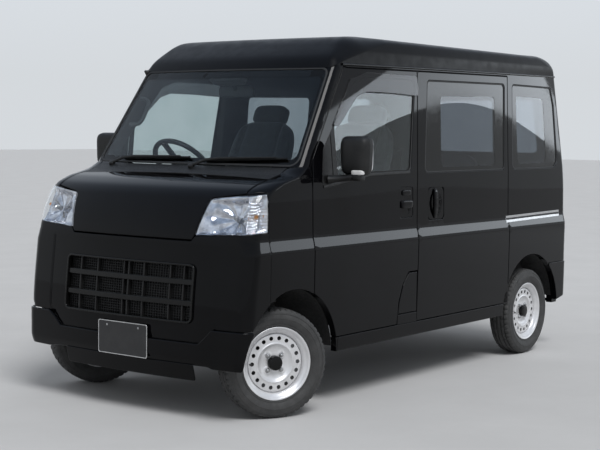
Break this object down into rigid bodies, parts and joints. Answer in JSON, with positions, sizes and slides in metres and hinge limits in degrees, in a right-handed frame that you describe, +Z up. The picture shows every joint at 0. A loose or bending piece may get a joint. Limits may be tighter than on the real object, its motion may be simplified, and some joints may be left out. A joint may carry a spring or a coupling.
{
  "type": "kei cargo van",
  "caption": "Small one-box cargo van with a high roof, hinged front doors, sliding side doors, a lift-up tailgate and steered front wheels.",
  "frame": {"origin": "on the ground under the middle of the vehicle's box, midway between the bumpers' ends and on the centre plane", "axes": "+X points forward, +Y to the vehicle's left, +Z up"},
  "size_m": [3.395, 1.868, 1.89],
  "materials": {
    "black_paint": "gloss",
    "underbody_paint": "satin",
    "engine_metal": "rough",
    "exhaust_steel": "dull",
    "clear_glass": "clear, slightly green",
    "tinted_glass": "dark tint",
    "headlamp_clear": "clear lens over bright reflectors",
    "tail_lamp_red": "red lens",
    "wheel_silver": "satin silver",
    "rail_silver": "satin",
    "tyre_rubber": "matt",
    "black_plastic": "grained",
    "cabin_plastic": "grained",
    "seat_cloth": "woven",
    "plate_blank": "satin, pale edge"
  },
  "bodies": {
    "body": {"chassis_rails": "underbody_paint", "cowl": "black_plastic", "dashboard": "cabin_plastic", "engine": "engine_metal", "exhaust": "exhaust_steel", "fender_left": "black_paint", "fender_right": "black_paint", "floor": "underbody_paint", "front_bumper": "black_paint", "front_fascia": "black_paint", "front_plate": "plate_blank", "front_suspension": "underbody_paint", "fuel_tank": "underbody_paint", "grille": "black_plastic", "headlamps": "headlamp_clear", "propshaft": "underbody_paint", "rear_axle": "underbody_paint", "rear_bench": "seat_cloth", "rear_bumper": "black_paint", "rear_suspension": "underbody_paint", "roof": "black_paint", "seat_driver": "seat_cloth", "seat_passenger": "seat_cloth", "side_frame_left": "black_paint", "side_frame_right": "black_paint", "side_glass": "tinted_glass", "slide_rails": "rail_silver", "sliding_door_left": "black_paint", "sliding_door_right": "black_paint", "tail_lamps": "tail_lamp_red", "wheel_housings": "underbody_paint", "windscreen": "clear_glass", "wipers": "black_plastic"},
    "bonnet": {"bonnet": "black_paint"},
    "tailgate": {"tailgate": "black_paint", "tailgate_glass": "tinted_glass", "rear_plate": "plate_blank"},
    "door_left": {"front_door_left": "black_paint", "front_door_glass_left": "clear_glass", "mirror_left": "black_plastic"},
    "door_right": {"front_door_right": "black_paint", "front_door_glass_right": "clear_glass", "mirror_right": "black_plastic"},
    "fuel_flap": {"fuel_lid": "black_paint"},
    "knuckle_left": {"knuckle_left": "underbody_paint"},
    "knuckle_right": {"knuckle_right": "underbody_paint"},
    "steering_wheel": {"steering_wheel": "cabin_plastic"},
    "wheel_front_left": {"tyre_front_left": "tyre_rubber", "rim_front_left": "wheel_silver"},
    "wheel_front_right": {"tyre_front_right": "tyre_rubber", "rim_front_right": "wheel_silver"},
    "wheel_rear_left": {"tyre_rear_left": "tyre_rubber", "rim_rear_left": "wheel_silver"},
    "wheel_rear_right": {"tyre_rear_right": "tyre_rubber", "rim_rear_right": "wheel_silver"}
  },
  "joints": [
    {"name": "bonnet_hinge", "type": "hinge", "parent": "body", "child": "bonnet", "pos_m": [1.361, 0, 1.157], "axis": [0, -1, 0], "range_deg": [0, 50]},
    {"name": "tailgate_hinge", "type": "hinge", "parent": "body", "child": "tailgate", "pos_m": [-1.6585, 0, 1.7245], "axis": [0, 1, 0], "range_deg": [0, 80]},
    {"name": "door_left_hinge", "type": "hinge", "parent": "body", "child": "door_left", "pos_m": [1.118, 0.7375, 1], "axis": [0, 0, -1], "range_deg": [0, 65]},
    {"name": "door_right_hinge", "type": "hinge", "parent": "body", "child": "door_right", "pos_m": [1.118, -0.7375, 1], "axis": [0, 0, 1], "range_deg": [0, 65]},
    {"name": "fuel_flap_hinge", "type": "hinge", "parent": "body", "child": "fuel_flap", "pos_m": [0.18, 0.736, 0.51], "axis": [0, 0, 1], "range_deg": [0, 90]},
    {"name": "steer_left", "type": "hinge", "parent": "body", "child": "knuckle_left", "pos_m": [1.2775, 0.5425, 0.265], "axis": [0, 0, 1], "range_deg": [-9, 63]},
    {"name": "steer_right", "type": "hinge", "parent": "body", "child": "knuckle_right", "pos_m": [1.2775, -0.5425, 0.265], "axis": [0, 0, 1], "range_deg": [-9, 63]},
    {"name": "steering_wheel_turn", "type": "hinge", "parent": "body", "child": "steering_wheel", "pos_m": [0.88, -0.34, 1.18], "axis": [-0.7431, 0, 0.6691], "range_deg": [-153, 1071]},
    {"name": "spin_front_left", "type": "hinge", "parent": "knuckle_left", "child": "wheel_front_left", "pos_m": [1.3274, 0.6405, 0.265], "axis": [0.454, 0.891, 0], "continuous": true},
    {"name": "spin_front_right", "type": "hinge", "parent": "knuckle_right", "child": "wheel_front_right", "pos_m": [1.2276, -0.6405, 0.265], "axis": [0.454, 0.891, 0], "continuous": true},
    {"name": "spin_rear_left", "type": "hinge", "parent": "body", "child": "wheel_rear_left", "pos_m": [-1.1725, 0.65, 0.265], "axis": [0, 1, 0], "continuous": true},
    {"name": "spin_rear_right", "type": "hinge", "parent": "body", "child": "wheel_rear_right", "pos_m": [-1.1725, -0.65, 0.265], "axis": [0, 1, 0], "continuous": true}
  ],
  "couplings": [
    {"joint": "steer_right", "follows": "steer_left", "ratio": 1},
    {"joint": "steering_wheel_turn", "follows": "steer_left", "ratio": 17}
  ]
}
